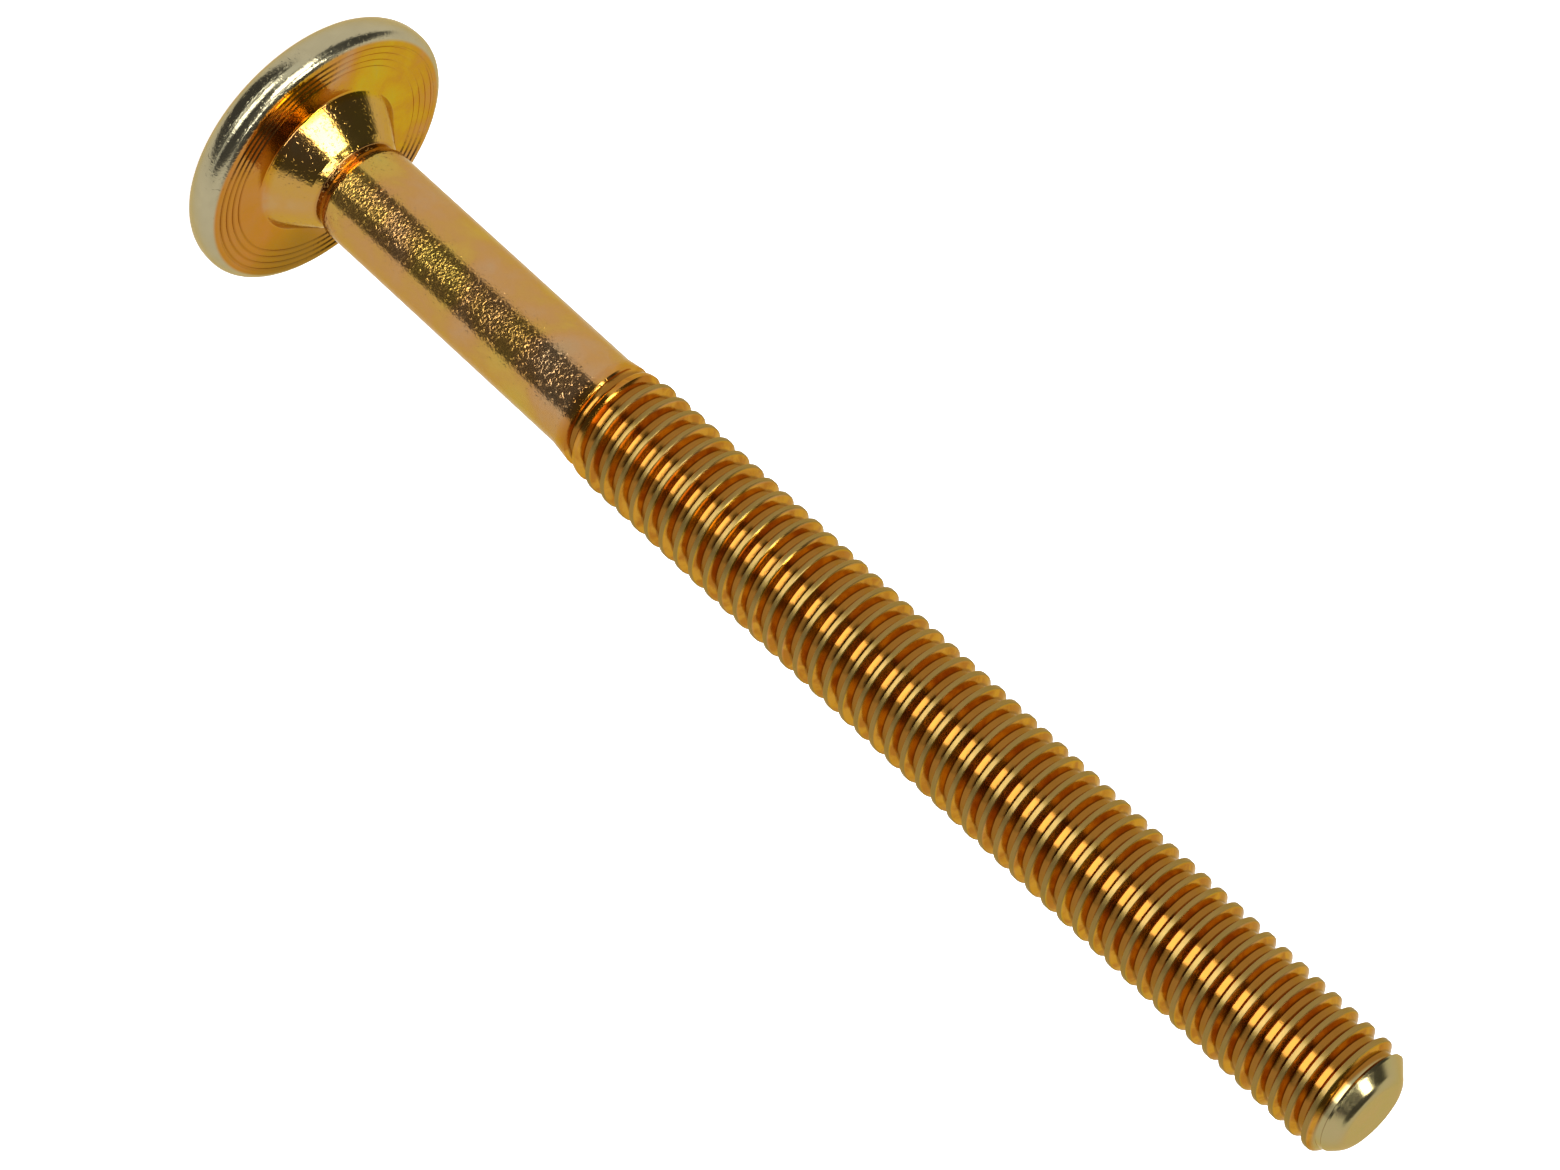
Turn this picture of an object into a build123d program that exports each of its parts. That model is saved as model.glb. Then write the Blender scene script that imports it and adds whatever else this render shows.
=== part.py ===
from build123d import *
import math
import os

# Connector bolt: wide flat head, conical collar under it, plain shank and a right-hand M6 thread.
#
# Millimetres. The bolt stands on its head: +Z runs up the axis to the tip, and the origin is the
# centre of the head's flat top face, which is the lowest face. The whole bolt is one piece.

# Head
head_diameter = 14.6
head_thickness = 2.2
head_top_round = 1.3  # rim round towards the flat top face
head_under_round = 0.7  # rim round towards the underside

# Conical collar under the head, which centres the bolt in its hole
collar_base_diameter = 8.1
collar_end_diameter = 5.48
collar_height = 1.75
collar_root_fillet = 0.2
collar_end_bevel = 0.3

# Neck between the collar and the plain shank
neck_depth = 0.15  # below the shank's surface
neck_length = 0.4
neck_lead_in = 0.65  # length of the taper that rises to the shank
neck_blend = 1.5  # round where that taper meets the shank

# Shank, rolled thread and tip
shank_diameter = 5.14
underhead_length = 69.2  # from the head's underside to the tip
plain_length = 19.4  # from the head's underside to the first groove
thread_diameter = 5.88
thread_root_diameter = 4.77
thread_pitch = 1.0
thread_run_out = 2.2  # length over which the crests rise from the shank to full height
coil_steps = 18  # spans of the spline for one turn, within 0.001 of a true helix
tip_diameter = 3.8  # where the tip's bevel would meet its flat end
tip_angle = 45.0  # degrees between the tip's bevel and the axis
tip_round = 0.8  # round between that bevel and the flat end
crest_clearance = 0.2  # by which the trimming form stands clear of full crests

# Hexagon socket in the head
socket_across_flats = 4.0
socket_depth = 2.6
socket_mouth_rim = 0.15  # how far the mouth's 45 degree bevel reaches past the corners
socket_floor_angle = 20.0  # degrees, the shallow cone that the punch leaves in the floor

# Places along the axis
underside = head_thickness
collar_end = underside + collar_height
neck_start = collar_end + collar_end_bevel
neck_end = neck_start + neck_length
shank_start = neck_end + neck_lead_in
thread_start = underside + plain_length
tip = underside + underhead_length

# Radii
head_radius = head_diameter / 2
shank_radius = shank_diameter / 2
neck_radius = shank_radius - neck_depth
crest_radius = thread_diameter / 2
root_radius = thread_root_diameter / 2
tip_radius = tip_diameter / 2


def turned(outline):
    """Solid of revolution from (radius, height, corner round) along its outline."""
    points = [(radius, height) for radius, height, _ in outline]
    rounds = [corner for _, _, corner in outline]
    profile = FilletPolyline(*points, radius=rounds, close=True)
    return revolve(make_face(Plane.XZ * profile), axis=Axis.Z)


def head_and_shank():
    """Head, collar, neck and plain shank, up to where the thread starts."""
    top_round = min(head_top_round, head_thickness - head_under_round)
    return turned(
        [
            (0, 0, 0),
            (head_radius, 0, top_round),
            (head_radius, underside, head_under_round),
            (collar_base_diameter / 2, underside, collar_root_fillet),
            (collar_end_diameter / 2, collar_end, 0),
            (neck_radius, neck_start, 0),
            (neck_radius, neck_end, 0),
            (shank_radius, shank_start, neck_blend),
            (shank_radius, thread_start, 0),
            (0, thread_start, 0),
        ]
    )


def coil(radius, height):
    """One turn of a right-hand helix, which starts over +X: a spline through even steps."""
    lead = thread_pitch / (2 * math.pi)
    angles = [2 * math.pi * step / coil_steps for step in range(coil_steps + 1)]
    points = [
        Vector(radius * math.cos(angle), radius * math.sin(angle), height + lead * angle)
        for angle in angles
    ]
    start_direction = Vector(0, radius, lead)
    return Edge.make_spline(
        points,
        tangents=[start_direction, start_direction],
        parameters=angles,
        scale=False,
    )


def ridge_end(height):
    """The two faces that close the coiled ridge at its first or last turn."""
    axis = Edge.make_line((0, 0, height), (0, 0, height + thread_pitch))
    ramp = Face.make_surface_from_curves(axis, coil(root_radius, height))
    section = Wire.make_polygon(
        [
            (0, 0, height),
            (root_radius, 0, height),
            (crest_radius, 0, height + thread_pitch / 2),
            (root_radius, 0, height + thread_pitch),
            (0, 0, height + thread_pitch),
        ]
    )
    return [ramp, Face(section)]


def coiled_ridge():
    """Threaded rod of full height, a turn longer at each end than the bolt's thread.

    Each turn is two ruled flanks between a helix at the root and one at the crest.
    """
    low = thread_start - thread_pitch
    turns = math.ceil((tip - low) / thread_pitch) + 1
    faces = ridge_end(low) + ridge_end(low + turns * thread_pitch)
    for turn in range(turns):
        root = low + turn * thread_pitch
        crest = coil(crest_radius, root + thread_pitch / 2)
        for edge in (coil(root_radius, root), coil(root_radius, root + thread_pitch)):
            faces.append(Face.make_surface_from_curves(edge, crest))
    return Solid(Shell(faces))


def thread_limits():
    """Turned form that trims the thread: its run-out cone at the shank and the bevel at the tip."""
    clear_radius = crest_radius + crest_clearance
    rise = thread_run_out / (crest_radius - shank_radius)
    bevel = 1 / math.tan(math.radians(tip_angle))
    return turned(
        [
            (0, thread_start, 0),
            (shank_radius, thread_start, 0),
            (clear_radius, thread_start + rise * (clear_radius - shank_radius), 0),
            (clear_radius, tip - bevel * (clear_radius - tip_radius), 0),
            (tip_radius, tip, tip_round),
            (0, tip, 0),
        ]
    )


def hexagon_socket():
    """Hexagon with a bevelled mouth and a shallow conical floor, open at the head's top face."""
    inscribed = socket_across_flats / 2
    mouth_radius = inscribed / math.cos(math.pi / 6) + socket_mouth_rim
    upward = (Align.CENTER, Align.CENTER, Align.MIN)
    walls = extrude(RegularPolygon(inscribed, 6, major_radius=False), socket_depth)
    mouth = Cone(mouth_radius, inscribed, mouth_radius - inscribed, align=upward)
    floor_height = inscribed * math.tan(math.radians(socket_floor_angle))
    floor = Pos(0, 0, socket_depth) * Cone(inscribed, 0, floor_height, align=upward)
    return walls + mouth + floor


bolt = head_and_shank() + (coiled_ridge() & thread_limits()) - hexagon_socket()

os.makedirs("parts", exist_ok=True)
export_step(bolt, "parts/bolt.step")
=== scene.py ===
"""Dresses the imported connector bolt: fine turned body, helical thread and yellow zinc finish.

Metres, in the frame's own axes: the bolt stands on its head at the origin, with +Z along its axis.
"""

import math

import bmesh
import bpy
from mathutils import Matrix, Vector


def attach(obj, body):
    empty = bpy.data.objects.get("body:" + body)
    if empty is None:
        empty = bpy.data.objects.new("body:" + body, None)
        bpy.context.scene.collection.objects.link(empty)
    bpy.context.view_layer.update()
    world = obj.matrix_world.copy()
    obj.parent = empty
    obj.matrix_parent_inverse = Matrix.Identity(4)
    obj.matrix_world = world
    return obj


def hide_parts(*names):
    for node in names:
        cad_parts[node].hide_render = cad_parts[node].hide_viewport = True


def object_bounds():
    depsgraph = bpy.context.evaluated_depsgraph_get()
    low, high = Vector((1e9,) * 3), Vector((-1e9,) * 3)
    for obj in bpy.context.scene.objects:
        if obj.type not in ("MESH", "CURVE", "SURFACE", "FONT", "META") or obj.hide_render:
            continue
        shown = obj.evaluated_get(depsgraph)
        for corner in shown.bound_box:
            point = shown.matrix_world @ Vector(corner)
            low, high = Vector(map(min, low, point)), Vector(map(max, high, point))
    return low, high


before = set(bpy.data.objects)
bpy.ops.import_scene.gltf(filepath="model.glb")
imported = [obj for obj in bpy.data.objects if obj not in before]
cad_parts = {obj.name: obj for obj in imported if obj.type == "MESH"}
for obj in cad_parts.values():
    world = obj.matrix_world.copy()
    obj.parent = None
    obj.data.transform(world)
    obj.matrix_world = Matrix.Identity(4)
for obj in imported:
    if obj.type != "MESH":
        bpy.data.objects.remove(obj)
cad_low, cad_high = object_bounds()

MM = 0.001
COLUMNS = 96  # faces round the bolt's axis
ANGLES = [2 * math.pi * column / COLUMNS for column in range(COLUMNS)]
ARC_STEP = 11  # degrees, about, between the points of a rounded corner
SHARP_ANGLE = math.radians(25)  # faces that meet at more than this keep a sharp edge

# Sizes in millimetres. Heights run up from the head's top face, on which the bolt stands.
WELD = 0.002  # points closer than this are joined
HOLD = 0.03  # from a round or groove to the row of points that keeps the face beside it flat
EDGE_ROUND = 0.06

HEAD_RADIUS = cad_high.y / MM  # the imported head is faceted, and a little wider along X
HEAD_THICKNESS = 2.2
TOP_ROUND = 1.3
UNDER_ROUND = 0.7
UNDER_FLAT_RADIUS = HEAD_RADIUS - UNDER_ROUND
RING_STEP = 0.36
RING_RADII = [5.38 + RING_STEP * index for index in range(4)]
RING_DEPTH = 0.04
RING_HALF_WIDTH = 0.08

SOCKET_FLATS = 4.0
SOCKET_DEPTH = 2.6
SOCKET_RIM = 0.15  # from a corner of the hexagon to the edge of its bevelled mouth
SOCKET_MOUTH_RADIUS = SOCKET_FLATS / 2 / math.cos(math.pi / 6) + SOCKET_RIM
SOCKET_LAND = 0.1  # flat ring round the mouth
SOCKET_FLOOR_RADIUS = SOCKET_FLATS / 2 - 0.02
SOCKET_FLOOR_SLOPE = math.radians(20)
SOCKET_WALL_ROWS = (0, 0.04, 0.96, 1)  # shares of the way from the bevel to the floor

COLLAR_BASE_RADIUS = 4.05
COLLAR_END_RADIUS = 2.74
COLLAR_HEIGHT = 1.75
COLLAR_BASE_ROUND = 0.2
NECK_RADIUS = 2.42
NECK_START = HEAD_THICKNESS + 2.05
NECK_END = NECK_START + 0.3
NECK_ROUND = 0.3
SHANK_RADIUS = 2.57
SHANK_START = NECK_END + 0.4
SHANK_ROUND = 0.6

THREAD_START = HEAD_THICKNESS + 19.4
THREAD_PITCH = 1.0
# The run-out starts a whole number of rows below the first root, so that rows run along the
# corners of the thread's section.
ROWS_PER_TURN = 16
RUN_OUT_START = THREAD_START - THREAD_PITCH / 2
FIRST_ROOT = THREAD_START + THREAD_PITCH / ROWS_PER_TURN
RUN_OUT = 2.5  # in which the crests rise
ROOT_FALL = 0.8 * THREAD_PITCH  # in which the first groove deepens
CREST_RADIUS = 2.94
CREST_ROUND = 0.02
ROOT_RADIUS = 2.5
ROOT_FLAT = 0.3
ROOT_ROUND = 0.02
FLANK_SLOPE = math.sqrt(3)  # of flanks 60 degrees apart

TIP = cad_high.z / MM
TIP_CREST_RADIUS = 2.88
TIP_RADIUS = 1.9
TIP_ROUND = 0.8
BEVEL_START = TIP - (TIP_CREST_RADIUS - TIP_RADIUS)
BEVEL_BLEND = 0.3
THREAD_END = TIP - 0.3


# ---------------------------------------------------------------- turned body


def rounded(points):
    """Outline through (radius, height, corner round) points, with each rounded corner as an arc."""
    outline = []
    for index, (radius, height, corner) in enumerate(points):
        here = Vector((radius, height))
        if corner == 0:
            outline.append(here)
            continue
        before = Vector(points[index - 1][:2]) - here
        after = Vector(points[index + 1][:2]) - here
        opening = before.angle(after)
        before.normalize()
        after.normalize()
        reach = corner / math.tan(opening / 2)
        middle = here + (before + after).normalized() * (corner / math.sin(opening / 2))
        start = here + before * reach - middle
        end = here + after * reach - middle
        steps = max(3, round(math.degrees(math.pi - opening) / ARC_STEP))
        outline.append(here + before * (reach + HOLD))
        for step in range(steps + 1):
            outline.append(middle + start.slerp(end, step / steps) * corner)
        outline.append(here + after * (reach + HOLD))
    return [(point.x, point.y) for point in outline]


def turning_groove(radius, height):
    """Outline points of a fine groove that the turning tool left in a flat face."""
    return [
        (radius + RING_HALF_WIDTH + HOLD, height, 0),
        (radius + RING_HALF_WIDTH, height, 0),
        (radius, height - RING_DEPTH, 0),
        (radius - RING_HALF_WIDTH, height, 0),
        (radius - RING_HALF_WIDTH - HOLD, height, 0),
    ]


def body_outline():
    """Head from the mouth of its socket over the rim, then collar, neck and plain shank."""
    points = [
        (SOCKET_MOUTH_RADIUS, 0, 0),
        (SOCKET_MOUTH_RADIUS + SOCKET_LAND, 0, 0),
        (HEAD_RADIUS, 0, TOP_ROUND),
        (HEAD_RADIUS, HEAD_THICKNESS, UNDER_ROUND),
    ]
    for radius in reversed(RING_RADII):
        points += turning_groove(radius, HEAD_THICKNESS)
    points += [
        (COLLAR_BASE_RADIUS, HEAD_THICKNESS, COLLAR_BASE_ROUND),
        (COLLAR_END_RADIUS, HEAD_THICKNESS + COLLAR_HEIGHT, EDGE_ROUND),
        (NECK_RADIUS, NECK_START, EDGE_ROUND),
        (NECK_RADIUS, NECK_END, NECK_ROUND),
        (SHANK_RADIUS, SHANK_START, SHANK_ROUND),
        (SHANK_RADIUS, RUN_OUT_START, 0),
    ]
    return rounded(points)


def ring(mesh, radii, heights):
    """One closed ring of vertices, from the radius and the height at each column."""
    vertices = []
    for angle, radius, height in zip(ANGLES, radii, heights):
        reach = radius * MM
        place = (reach * math.cos(angle), reach * math.sin(angle), height * MM)
        vertices.append(mesh.verts.new(place))
    return vertices


def round_ring(mesh, radius, height):
    """One closed ring of vertices on a circle."""
    return ring(mesh, [radius] * COLUMNS, [height] * COLUMNS)


def bridge(mesh, lower, upper):
    """Quads between two rings, which face outwards when the second ring comes after the first."""
    for column in range(COLUMNS):
        following = (column + 1) % COLUMNS
        mesh.faces.new((lower[column], lower[following], upper[following], upper[column]))


def fan(mesh, edge, centre_height, upwards):
    """Triangles from a ring to a point on the axis."""
    centre = mesh.verts.new((0, 0, centre_height * MM))
    for column in range(COLUMNS):
        following = (column + 1) % COLUMNS
        pair = (edge[column], edge[following]) if upwards else (edge[following], edge[column])
        mesh.faces.new((*pair, centre))


def hexagon(angle):
    """Distance from the axis to the hexagon socket's wall at an angle."""
    side = math.pi / 3
    return SOCKET_FLATS / 2 / math.cos((angle % side) - side / 2)


def add_socket(mesh, mouth):
    """Bevelled mouth, hexagon walls and conical floor, inwards from the mouth's ring."""
    walls = [hexagon(angle) for angle in ANGLES]
    tops = [SOCKET_MOUTH_RADIUS - wall for wall in walls]
    above = mouth
    for share in SOCKET_WALL_ROWS:
        row = ring(mesh, walls, [top + (SOCKET_DEPTH - top) * share for top in tops])
        bridge(mesh, row, above)
        above = row
    floor = round_ring(mesh, SOCKET_FLOOR_RADIUS, SOCKET_DEPTH)
    bridge(mesh, floor, above)
    apex = SOCKET_DEPTH + SOCKET_FLOOR_RADIUS * math.tan(SOCKET_FLOOR_SLOPE)
    fan(mesh, floor, apex, upwards=False)


def turned_body():
    """Everything below the thread, open at its upper end."""
    mesh = bmesh.new()
    previous = None
    for radius, height in body_outline():
        current = round_ring(mesh, radius, height)
        if previous is None:
            add_socket(mesh, current)
        else:
            bridge(mesh, previous, current)
        previous = current
    return mesh


# ------------------------------------------------------------ nodes in general


class Tree:
    """Short calls that add nodes to a node tree and link them."""

    def __init__(self, node_tree):
        self.node_tree = node_tree

    def node(self, kind, inputs=None, **settings):
        made = self.node_tree.nodes.new(kind)
        for name, value in settings.items():
            setattr(made, name, value)
        for key, value in (inputs or {}).items():
            self.feed(made.inputs[key], value)
        return made

    def feed(self, socket, value):
        if isinstance(value, bpy.types.NodeSocket):
            self.node_tree.links.new(value, socket)
        else:
            socket.default_value = value

    def math(self, operation, *values, clamp=False):
        made = self.node("ShaderNodeMath", operation=operation, use_clamp=clamp)
        for socket, value in zip(made.inputs, values):
            self.feed(socket, value)
        return made.outputs[0]

    def product(self, first, *others):
        """All the values multiplied together."""
        for other in others:
            first = self.math("MULTIPLY", first, other)
        return first

    def blend(self, share, low, high):
        """low + (high - low) * share"""
        return self.math("MULTIPLY_ADD", self.math("SUBTRACT", high, low), share, low)

    def ramp(self, value, start, end, kind="SMOOTHSTEP"):
        """From 0 at start to 1 at end, which may be the lower of the two, and level beyond them."""
        keys = {"Value": value, "From Min": start, "From Max": end}
        return self.node("ShaderNodeMapRange", keys, interpolation_type=kind).outputs[0]

    def band(self, value, start, full, leaving, end):
        """Rises to 1 between start and full, and falls back to 0 between leaving and end."""
        return self.product(self.ramp(value, start, full), self.ramp(value, end, leaving))

    def mixed_colour(self, share, first, second):
        """The first colour at share 0, the second at share 1."""
        # Of a Mix node's sockets, 6 and 7 take the colours, and output 2 gives their mix.
        keys = {0: share, 6: first, 7: second}
        return self.node("ShaderNodeMix", keys, data_type="RGBA").outputs[2]

    def noise(self, place, scale, detail=2.0, distortion=0.0):
        keys = {"Vector": place, "Scale": scale, "Detail": detail, "Distortion": distortion}
        return self.node("ShaderNodeTexNoise", keys).outputs[0]


# --------------------------------------------------------------------- thread


THREAD_LENGTHS = {
    "Pitch": THREAD_PITCH,
    "Start height": RUN_OUT_START,
    "First root": FIRST_ROOT,
    "Tip height": TIP,
    "Shank radius": SHANK_RADIUS,
    "Root radius": ROOT_RADIUS,
    "Crest radius": CREST_RADIUS,
    "Tip crest radius": TIP_CREST_RADIUS,
    "Root flat": ROOT_FLAT,
    "Root fall": ROOT_FALL,
    "Crest round": CREST_ROUND,
    "Root round": ROOT_ROUND,
    "Run-out": RUN_OUT,
    "Tip radius": TIP_RADIUS,
    "Bevel blend": BEVEL_BLEND,
    "End height": THREAD_END,
    "Weld": WELD,
}
THREAD_COUNTS = {
    "Columns": COLUMNS,
    "Rows per turn": ROWS_PER_TURN,
    "Turns": math.ceil((TIP - RUN_OUT_START) / THREAD_PITCH) + 1,
}

# Rows crowd together at the corners of the section, where the surface bends: a sum of sine waves,
# each with its number in a turn and how far it shifts a row, in turns
CROWDING = ((4, 0.037), (2, -0.0025), (1, 0.039))


def flat_grid(tree, given):
    """A grid, with each point's share of a turn round the axis and its number of turns along it."""
    rows = tree.math("MULTIPLY", given["Turns"], given["Rows per turn"])
    grid = tree.node("GeometryNodeMeshGrid", {
        "Size X": 1.0,
        "Size Y": given["Turns"],
        "Vertices X": tree.math("ADD", given["Columns"], 1.0),
        "Vertices Y": tree.math("ADD", rows, 1.0),
    })
    position = tree.node("GeometryNodeInputPosition").outputs[0]
    place = tree.node("ShaderNodeSeparateXYZ", {0: position}).outputs
    around = tree.math("ADD", place["X"], 0.5)
    turns_up = tree.math("MULTIPLY_ADD", given["Turns"], 0.5, place["Y"])
    to_first = tree.math("SUBTRACT", given["Start height"], given["First root"])
    row_phase = tree.math("ADD", turns_up, tree.math("DIVIDE", to_first, given["Pitch"]))
    for waves, shift in CROWDING:
        wave = tree.math("SINE", tree.math("MULTIPLY", row_phase, 2 * math.pi * waves))
        turns_up = tree.math("MULTIPLY_ADD", wave, shift, turns_up)
    return grid.outputs[0], around, turns_up


def helix_height(tree, given, around, turns_up):
    """Height: rows climb by one pitch in a turn, and lie flat below the start and above the end."""
    climbed = tree.math("SUBTRACT", tree.math("ADD", turns_up, around), 1.0)
    helical = tree.math("MULTIPLY_ADD", climbed, given["Pitch"], given["Start height"])
    above_start = tree.math("MAXIMUM", helical, given["Start height"])
    return tree.math("MINIMUM", above_start, given["End height"])


def thread_radius(tree, given, around, height):
    """Distance from the axis to the thread's surface."""
    # Flanks rise on both sides of the flat at the bottom of the nearest groove.
    from_first = tree.math("SUBTRACT", height, given["First root"])
    in_pitches = tree.math("DIVIDE", from_first, given["Pitch"])
    phase = tree.math("FRACT", tree.math("SUBTRACT", in_pitches, around))
    to_root = tree.math("MINIMUM", phase, tree.math("SUBTRACT", 1.0, phase))
    from_root = tree.math("MULTIPLY", to_root, given["Pitch"])
    half_flat = tree.math("MULTIPLY", given["Root flat"], 0.5)
    flank = tree.math("MULTIPLY", tree.math("SUBTRACT", from_root, half_flat), FLANK_SLOPE)
    risen = tree.math("SMOOTH_MAX", flank, 0.0, given["Root round"])

    # At the shank the crests rise and the first groove deepens gradually. Crests taper to the tip.
    from_start = tree.math("SUBTRACT", height, given["Start height"])
    length = tree.math("SUBTRACT", given["Tip height"], given["Start height"])
    along = tree.math("DIVIDE", from_start, length)
    full_crest = tree.blend(along, given["Crest radius"], given["Tip crest radius"])
    crest_share = tree.ramp(from_start, 0.0, given["Run-out"], kind="LINEAR")
    crest = tree.blend(crest_share, given["Shank radius"], full_crest)
    closed = tree.math("ADD", crest, given["Crest round"])
    root_share = tree.ramp(from_first, 0.0, given["Root fall"])
    root = tree.blend(root_share, closed, given["Root radius"])
    section = tree.math("SMOOTH_MIN", tree.math("ADD", root, risen), crest, given["Crest round"])

    # At the tip a 45 degree bevel cuts the thread.
    to_tip = tree.math("SUBTRACT", given["Tip height"], height)
    bevel = tree.math("ADD", given["Tip radius"], to_tip)
    return tree.math("SMOOTH_MIN", section, bevel, given["Bevel blend"])


def thread_tree():
    """Geometry nodes: a flat grid is wrapped along the helix and pulled to the thread's section."""
    group = bpy.data.node_groups.new("rolled thread", "GeometryNodeTree")
    group.interface.new_socket("Geometry", in_out="OUTPUT", socket_type="NodeSocketGeometry")
    for names, kind in (
        (THREAD_LENGTHS, "NodeSocketFloat"),
        (THREAD_COUNTS, "NodeSocketInt"),
        (("Finish",), "NodeSocketMaterial"),
    ):
        for name in names:
            group.interface.new_socket(name, in_out="INPUT", socket_type=kind)

    tree = Tree(group)
    given = tree.node("NodeGroupInput").outputs
    geometry, around, turns_up = flat_grid(tree, given)
    height = helix_height(tree, given, around, turns_up)
    radius = thread_radius(tree, given, around, height)
    angle = tree.math("MULTIPLY", around, 2 * math.pi)
    wrapped = tree.node("ShaderNodeCombineXYZ", {
        "X": tree.math("MULTIPLY", radius, tree.math("COSINE", angle)),
        "Y": tree.math("MULTIPLY", radius, tree.math("SINE", angle)),
        "Z": height,
    }).outputs[0]
    for kind, inputs in (
        ("GeometryNodeSetPosition", {"Position": wrapped}),
        ("GeometryNodeMergeByDistance", {"Distance": given["Weld"]}),
        ("GeometryNodeRealizeInstances", {}),
        ("GeometryNodeSetMaterial", {"Material": given["Finish"]}),
    ):
        geometry = tree.node(kind, {"Geometry": geometry, **inputs}).outputs[0]
    tree.node("NodeGroupOutput", {"Geometry": geometry})
    return group


def set_inputs(modifier, values):
    """Sets the named inputs of a geometry nodes modifier through their identifiers."""
    for item in modifier.node_group.interface.items_tree:
        if item.in_out == "INPUT":
            modifier[item.identifier] = values[item.name]


def rolled_thread(finish):
    """Mesh of the thread from the shank to the round at the edge of the tip's end face."""
    carrier = bpy.data.objects.new("thread carrier", bpy.data.meshes.new("thread carrier"))
    bpy.context.scene.collection.objects.link(carrier)
    modifier = carrier.modifiers.new("rolled thread", "NODES")
    modifier.node_group = thread_tree()
    lengths = {name: length * MM for name, length in THREAD_LENGTHS.items()}
    set_inputs(modifier, {**lengths, **THREAD_COUNTS, "Finish": finish})
    evaluated = carrier.evaluated_get(bpy.context.evaluated_depsgraph_get())
    mesh = bpy.data.meshes.new_from_object(evaluated)
    bpy.data.objects.remove(carrier)
    return mesh


def close_tip(mesh):
    """Round and flat end face of the tip."""
    edge = [vertex for vertex in mesh.verts if vertex.co.z > (THREAD_END - WELD / 2) * MM]
    edge.sort(key=lambda vertex: math.atan2(vertex.co.y, vertex.co.x) % (2 * math.pi))
    outline = rounded([
        (TIP_RADIUS + TIP - THREAD_END, THREAD_END, 0),
        (TIP_RADIUS, TIP, TIP_ROUND),
        (TIP_RADIUS / 3, TIP, 0),
    ])
    for radius, height in outline[1:]:
        inner = round_ring(mesh, radius, height)
        bridge(mesh, edge, inner)
        edge = inner
    fan(mesh, edge, TIP, upwards=True)


def add_bolt(finish):
    """The whole bolt as one closed mesh, which stands for the CAD bolt."""
    mesh = turned_body()
    mesh.from_mesh(rolled_thread(finish))
    bmesh.ops.remove_doubles(mesh, verts=mesh.verts, dist=WELD * MM)
    close_tip(mesh)
    bmesh.ops.recalc_face_normals(mesh, faces=mesh.faces)
    data = bpy.data.meshes.new("bolt_body")
    mesh.to_mesh(data)
    mesh.free()
    data.shade_smooth()
    data.set_sharp_from_angle(angle=SHARP_ANGLE)
    data.materials.clear()
    data.materials.append(finish)
    piece = bpy.data.objects.new("bolt_body", data)
    bpy.context.scene.collection.objects.link(piece)
    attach(piece, "root")
    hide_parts("bolt")


# --------------------------------------------------------------------- finish


# Colours of the chromate film in the order in which they follow each other as it thickens
FILM_COLOURS = (
    (0.00, (0.44, 0.36, 0.12, 1)),
    (0.12, (0.56, 0.37, 0.015, 1)),
    (0.28, (0.58, 0.33, 0.01, 1)),
    (0.42, (0.55, 0.27, 0.015, 1)),
    (0.54, (0.55, 0.25, 0.04, 1)),
    (0.68, (0.54, 0.27, 0.09, 1)),
    (0.84, (0.48, 0.29, 0.13, 1)),
    (1.00, (0.42, 0.33, 0.15, 1)),
)

# Colours of the film in single zones: one, or two between which it wanders
SHANK_FILM = (0.47, 0.33, 0.18, 1)
NECK_FILM = (0.46, 0.23, 0.06, 1)
# Painted shade along the turning grooves under the head
RING_SHADE = (0.32, 0.12, 0.01, 1)
# Painted shade over one quarter of the head
QUARTER_SHADE = (0.27, 0.14, 0.01, 1)
DRAINED_FILMS = ((0.46, 0.21, 0.003, 1), (0.58, 0.18, 0.02, 1))
COLLAR_FILMS = ((0.56, 0.31, 0.08, 1), (0.54, 0.39, 0.14, 1))
RIM_FILMS = ((0.42, 0.36, 0.21, 1), (0.52, 0.45, 0.27, 1))
FLANK_FILMS = ((0.44, 0.16, 0.012, 1), (0.61, 0.29, 0.025, 1))
# Painted shade: the thread's roots get a darker film colour
ROOT_SHADE_FILMS = ((0.27, 0.11, 0.008, 1), (0.35, 0.145, 0.018, 1))
CREST_FILMS = ((0.27, 0.18, 0.04, 1), (0.37, 0.215, 0.055, 1))
END_FILMS = ((0.40, 0.37, 0.14, 1), (0.50, 0.35, 0.18, 1))

GRAIN_DEPTH = 0.016  # millimetres
SCRATCH_SLANTS = (38, -52)  # degrees to the shank's axis


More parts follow.
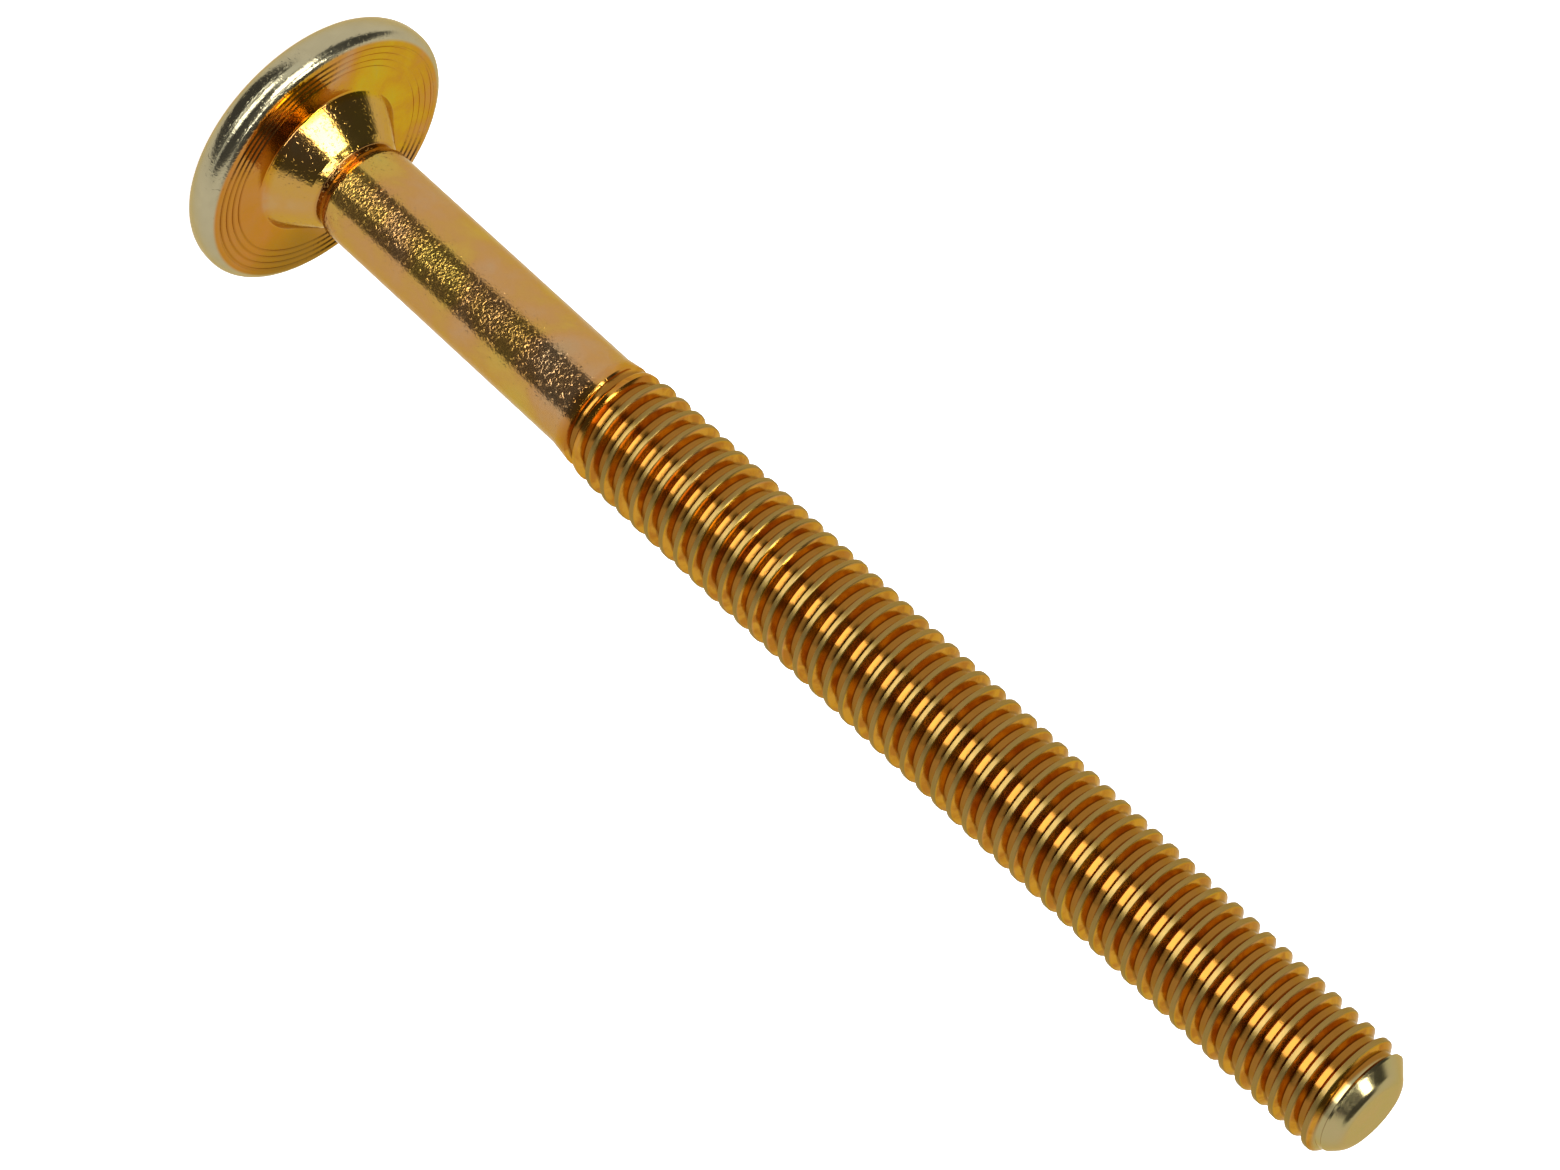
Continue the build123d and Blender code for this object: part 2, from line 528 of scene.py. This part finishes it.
class Zones:
    """Where a point of the surface lies, in millimetres, and its share in each zone of the bolt."""

    def __init__(self, tree):
        local = tree.node("ShaderNodeTexCoord").outputs["Object"]
        scaled = tree.node("ShaderNodeVectorMath", {0: local, "Scale": 1 / MM}, operation="SCALE")
        self.place = scaled.outputs[0]
        axes = tree.node("ShaderNodeSeparateXYZ", {0: self.place}).outputs
        self.x = axes["X"]
        self.y = axes["Y"]
        self.height = axes["Z"]
        squares = [tree.math("POWER", axis, 2.0) for axis in (self.x, self.y)]
        self.across = tree.math("SQRT", tree.math("ADD", *squares))

        self.head = tree.ramp(self.height, HEAD_THICKNESS + 0.1, HEAD_THICKNESS - 0.05)
        in_rim = tree.ramp(self.across, UNDER_FLAT_RADIUS + 0.15, UNDER_FLAT_RADIUS + 0.35)
        in_flat = tree.ramp(self.across, UNDER_FLAT_RADIUS + 0.2, UNDER_FLAT_RADIUS)
        self.rim = tree.product(self.head, in_rim)
        self.underside = tree.product(self.head, in_flat)
        self.collar = tree.band(
            self.height,
            HEAD_THICKNESS + 0.1, HEAD_THICKNESS + 0.4,
            NECK_START - 0.15, NECK_START + 0.05,
        )
        self.neck = tree.band(
            self.height,
            NECK_START - 0.1, NECK_START,
            SHANK_START - 0.1, SHANK_START + 0.1,
        )
        self.shank = tree.band(
            self.height,
            NECK_END - 0.15, SHANK_START - 0.15,
            THREAD_START - 0.2, THREAD_START + 0.2,
        )
        self.end = tree.ramp(self.height, BEVEL_START - 0.12, BEVEL_START + 0.08)

        # Within the thread the radius decides, with the taper of the crests taken out.
        self.thread = tree.ramp(self.height, THREAD_START - 0.1, THREAD_START + 0.8)
        along = tree.ramp(self.height, THREAD_START, TIP, kind="LINEAR")
        taper = CREST_RADIUS - TIP_CREST_RADIUS
        levelled = tree.math("MULTIPLY_ADD", along, taper, self.across)
        on_crest = tree.ramp(levelled, CREST_RADIUS - 0.08, CREST_RADIUS - 0.02)
        on_flank = tree.ramp(levelled, CREST_RADIUS - 0.02, CREST_RADIUS - 0.14)
        in_root = tree.ramp(self.across, ROOT_RADIUS + 0.1, ROOT_RADIUS + 0.03)
        self.crest = tree.product(self.thread, on_crest)
        self.flank = tree.product(self.thread, on_flank)
        self.root = tree.product(self.thread, in_root)


def ring_shade_share(tree, zones):
    """Share of the painted shade along the turned rings: strong on the drained +X side, faint at
    +Y.
    """
    inmost = RING_RADII[0]
    outmost = RING_RADII[-1]
    to_ring = tree.math("PINGPONG", tree.math("SUBTRACT", zones.across, inmost), RING_STEP / 2)
    return tree.product(
        zones.head,
        tree.ramp(to_ring, RING_HALF_WIDTH * 1.5, RING_HALF_WIDTH / 4),
        tree.band(zones.across, inmost - 0.15, inmost, outmost, outmost + 0.15),
        tree.blend(tree.ramp(zones.x, -5.0, 1.0), 0.05, 0.6),
        tree.blend(tree.ramp(zones.y, -1.0, 3.0), 1.0, 0.2),
    )


def film_scale(tree, thickness):
    """Colour of the chromate film for a thickness between 0 and 1."""
    scale = tree.node("ShaderNodeValToRGB", {"Fac": thickness})
    stops = scale.color_ramp.elements
    while len(stops) < len(FILM_COLOURS):
        stops.new(1.0)
    for stop, (position, colour) in zip(stops, FILM_COLOURS):
        stop.position = position
        stop.color = colour
    return scale.outputs["Color"]


def film_colour(tree, zones):
    """Colour of the chromate film, whose thickness wanders over the bolt and differs by zone, with
    painted shade in the thread's roots, along the turning grooves and over one quarter of the head.
    """
    broad = tree.noise(zones.place, 0.24, detail=1.5, distortion=0.4)
    patchy = tree.noise(zones.place, 0.8, detail=4.0, distortion=0.6)
    fine = tree.noise(zones.place, 5.0, detail=4.0)
    thickness = tree.math("MULTIPLY_ADD", broad, 1.5, -0.6)
    thickness = tree.math("MULTIPLY_ADD", patchy, 0.5, thickness)
    thickness = tree.math("MULTIPLY_ADD", fine, 0.14, thickness, clamp=True)
    colour = film_scale(tree, thickness)

    # The film drained to one side of the head while it dried. One quarter of the head, at +X and
    # +Y, is painted darker: painted shade.
    drained = tree.product(zones.head, tree.ramp(zones.x, -0.5, 4.5))
    quarter_shade = tree.product(zones.head, tree.ramp(zones.x, 1.0, 4.0), tree.ramp(zones.y, 0.0, 4.0))
    flank_patches = tree.ramp(patchy, 0.4, 0.62)
    for share, film in (
        (tree.product(zones.collar, 0.5), tree.mixed_colour(patchy, *COLLAR_FILMS)),
        (drained, tree.mixed_colour(patchy, *DRAINED_FILMS)),
        # painted shade over one quarter of the head
        (quarter_shade, QUARTER_SHADE),
        (tree.product(zones.shank, 0.3), SHANK_FILM),
        (zones.neck, NECK_FILM),
        # painted shade along the turning grooves
        (ring_shade_share(tree, zones), RING_SHADE),
        (zones.rim, tree.mixed_colour(patchy, *RIM_FILMS)),
        (zones.flank, tree.mixed_colour(flank_patches, *FLANK_FILMS)),
        # painted shade in the thread's roots
        (zones.root, tree.mixed_colour(patchy, *ROOT_SHADE_FILMS)),
        (zones.crest, tree.mixed_colour(patchy, *CREST_FILMS)),
        (zones.end, tree.mixed_colour(patchy, *END_FILMS)),
    ):
        colour = tree.mixed_colour(share, colour, film)
    return colour


def surface_roughness(tree, zones):
    """Glossy all over, a little duller on the flanks and the rim, dullest on the worn crests."""
    worn = tree.noise(zones.place, 2.5, detail=5.0)
    keys = {"Value": worn, "To Min": 0.06, "To Max": 0.17}
    rough = tree.node("ShaderNodeMapRange", keys).outputs[0]
    for zone, added in ((zones.crest, 0.22), (zones.flank, 0.06), (zones.rim, 0.08)):
        rough = tree.math("MULTIPLY_ADD", zone, added, rough)
    return rough


def scratches(tree, round_the_shank, along_the_shank, slant):
    """Thin marks on the shank, at a slant to its axis in degrees."""
    cosine = math.cos(math.radians(slant))
    sine = math.sin(math.radians(slant))
    across = tree.math(
        "SUBTRACT",
        tree.math("MULTIPLY", round_the_shank, cosine),
        tree.math("MULTIPLY", along_the_shank, sine),
    )
    lengthwise = tree.math(
        "ADD",
        tree.math("MULTIPLY", round_the_shank, sine),
        tree.math("MULTIPLY", along_the_shank, cosine),
    )
    stretched = tree.node("ShaderNodeCombineXYZ", {
        "X": tree.math("MULTIPLY", across, 9.0),
        "Y": tree.math("MULTIPLY", lengthwise, 0.9),
        "Z": float(slant),
    }).outputs[0]
    return tree.ramp(tree.noise(stretched, 1.0, detail=3.0), 0.56, 0.7)


def surface_relief(tree, zones):
    """Normal of the pitted grain, the scratches on the shank and the turning marks on the head."""
    angle = tree.math("ARCTAN2", zones.x, tree.math("MULTIPLY", zones.y, -1.0))
    round_the_shank = tree.math("MULTIPLY", angle, SHANK_RADIUS)
    crossing = [scratches(tree, round_the_shank, zones.height, slant) for slant in SCRATCH_SLANTS]
    clusters = tree.ramp(tree.noise(zones.place, 0.9), 0.45, 0.6)
    marks = tree.product(tree.math("MAXIMUM", *crossing), clusters)
    grain = tree.noise(zones.place, 7.0, detail=1.5)
    pits = tree.ramp(tree.noise(zones.place, 5.5, detail=1.5), 0.58, 0.72)
    relief = tree.math("MULTIPLY", grain, 0.8)
    relief = tree.math("MULTIPLY_ADD", pits, 0.7, relief)
    relief = tree.math("MULTIPLY_ADD", marks, -0.12, relief)

    # All of this is fainter on the thread, towards the head and on the flat under the head.
    relief = tree.product(
        relief,
        tree.blend(zones.thread, 1.0, 0.1),
        tree.blend(tree.ramp(zones.height, 4.0, 18.0), 0.5, 0.9),
        tree.blend(zones.underside, 1.0, 0.3),
    )
    outwards = tree.node("ShaderNodeCombineXYZ", {"X": zones.across}).outputs[0]
    turning = tree.product(tree.noise(outwards, 7.0), zones.head, 0.3)
    height = tree.math("ADD", relief, turning)
    keys = {"Height": height, "Strength": 1.0, "Distance": GRAIN_DEPTH * MM}
    return tree.node("ShaderNodeBump", keys).outputs[0]


def yellow_zinc():
    """Yellow chromate over zinc: gold, salmon and khaki in patches, and redder in the grooves, with
    painted shade in the roots, the turning grooves and one quarter of the head.
    """
    material = bpy.data.materials.new("yellow zinc")
    material.use_nodes = True
    tree = Tree(material.node_tree)
    zones = Zones(tree)
    inputs = material.node_tree.nodes["Principled BSDF"].inputs
    for name, value in {
        "Base Color": film_colour(tree, zones),
        "Metallic": tree.blend(zones.shank, 1.0, 0.95),
        "Roughness": surface_roughness(tree, zones),
        "Normal": surface_relief(tree, zones),
        "Specular Tint": (0.85, 0.68, 0.35, 1),
        "Coat Weight": 0.18,
        "Coat Roughness": 0.1,
    }.items():
        tree.feed(inputs[name], value)
    return material


# --------------------------------------------------------------------- studio


FLOOR_REACH = 3.0  # metres from the bolt to the floor's edges
FLOOR_COLOUR = (0.9, 0.9, 0.9, 1)
WHITE = (1, 1, 1, 1)
SHADE = (0.9, 0.93, 1.0, 1)
LAMP = (0.9, 0.95, 1.0, 1)

# Light tent round the bolt, by direction in degrees: azimuth 0 is the front, at -Y, positive
# azimuths lie towards +X, and elevation 90 is overhead. Reflections see past the floor, so what
# lies below the horizon stands for the light that it throws back. The cloth is bright, and each
# patch lies over the ones before it: strength, colour, range of azimuth, range of elevation, width
# of the soft edge.
CLOTH_STRENGTH = 0.9
PATCHES = (
    # Dark front, dark side panel and dark roof
    (0.09, SHADE, (-34, 63), (-100, 100), 10),
    (0.08, SHADE, (-118, -50), (10, 60), 12),
    (0.08, SHADE, (-200, 200), (62, 100), 12),
    # Main lamp on the -X side of the front, its glow below it, and a lamp beside it under the roof
    (14.0, LAMP, (-50, -7), (37, 49), 6),
    (4.0, LAMP, (-48, -10), (25, 37), 6),
    (12.0, LAMP, (-84, -47), (61, 71), 3),
    # Light off the floor, faint on both sides and bright in the middle
    (1.0, LAMP, (-36, -14), (-26, 14), 4),
    (0.8, LAMP, (27, 62), (-26, -14), 4),
    (5.5, LAMP, (-15, 28), (-27.5, -8), 2),
    # Strip lamp at the roof's edge
    (12.0, LAMP, (-17, 38), (60, 64), 3),
)

# Places in millimetres
CAMERA_PLACE = (-0.022, -247.94, 144.81)
CAMERA_TARGET = (0.369, 0, 34.324)
CAMERA_ROLL = math.radians(132.53)
LENS = 139.0
SENSOR_WIDTH = 36


def add_floor():
    """Wide pale floor, evenly bright. Reflections see past it to the tent."""
    reach = FLOOR_REACH
    mesh = bpy.data.meshes.new("floor")
    corners = [(-reach, -reach, 0), (reach, -reach, 0), (reach, reach, 0), (-reach, reach, 0)]
    mesh.from_pydata(corners, [], [(0, 1, 2, 3)])
    floor = bpy.data.objects.new("floor", mesh)
    bpy.context.scene.collection.objects.link(floor)
    material = bpy.data.materials.new("pale floor")
    material.use_nodes = True
    inputs = material.node_tree.nodes["Principled BSDF"].inputs
    inputs["Base Color"].default_value = FLOOR_COLOUR
    inputs["Roughness"].default_value = 0.9
    inputs["Emission Color"].default_value = WHITE
    inputs["Emission Strength"].default_value = 1.0
    mesh.materials.append(material)
    floor.visible_glossy = False


def inside_patch(tree, azimuth, elevation, around, up, soft):
    """1 inside a soft-edged patch, given by its ranges of azimuth and elevation."""
    half = soft / 2
    shares = []
    for angle, (start, end) in ((azimuth, around), (elevation, up)):
        shares.append(tree.band(angle, start - half, start + half, end - half, end + half))
    return tree.product(*shares)


def add_world():
    """The light tent, as a world that depends on the direction alone."""
    world = bpy.data.worlds.new("studio")
    bpy.context.scene.world = world
    world.use_nodes = True
    tree = Tree(world.node_tree)
    facing = tree.node("ShaderNodeTexCoord").outputs["Generated"]
    way = tree.node("ShaderNodeSeparateXYZ", {0: facing}).outputs
    to_front = tree.math("MULTIPLY", way["Y"], -1.0)
    azimuth = tree.math("DEGREES", tree.math("ARCTAN2", way["X"], to_front))
    elevation = tree.math("DEGREES", tree.math("ARCSINE", way["Z"]))
    strength = CLOTH_STRENGTH
    tint = WHITE
    for level, colour, around, up, soft in PATCHES:
        share = inside_patch(tree, azimuth, elevation, around, up, soft)
        strength = tree.blend(share, strength, level)
        tint = tree.mixed_colour(share, tint, colour)
    background = world.node_tree.nodes["Background"]
    tree.feed(background.inputs["Color"], tint)
    tree.feed(background.inputs["Strength"], strength)


def add_camera():
    """Long lens, turned about its own axis so that the bolt lies across the picture."""
    data = bpy.data.cameras.new("camera")
    data.sensor_width = SENSOR_WIDTH
    data.lens = LENS
    data.clip_start = 0.01
    data.clip_end = 10
    camera = bpy.data.objects.new("camera", data)
    bpy.context.scene.collection.objects.link(camera)
    place = Vector(CAMERA_PLACE) * MM
    target = Vector(CAMERA_TARGET) * MM
    level = (target - place).to_track_quat("-Z", "Y").to_matrix().to_4x4()
    roll = Matrix.Rotation(CAMERA_ROLL, 4, "Z")
    camera.matrix_world = Matrix.Translation(place) @ level @ roll
    bpy.context.scene.camera = camera


add_bolt(yellow_zinc())
add_floor()
add_world()
add_camera()
bpy.context.scene.view_settings.view_transform = "Standard"
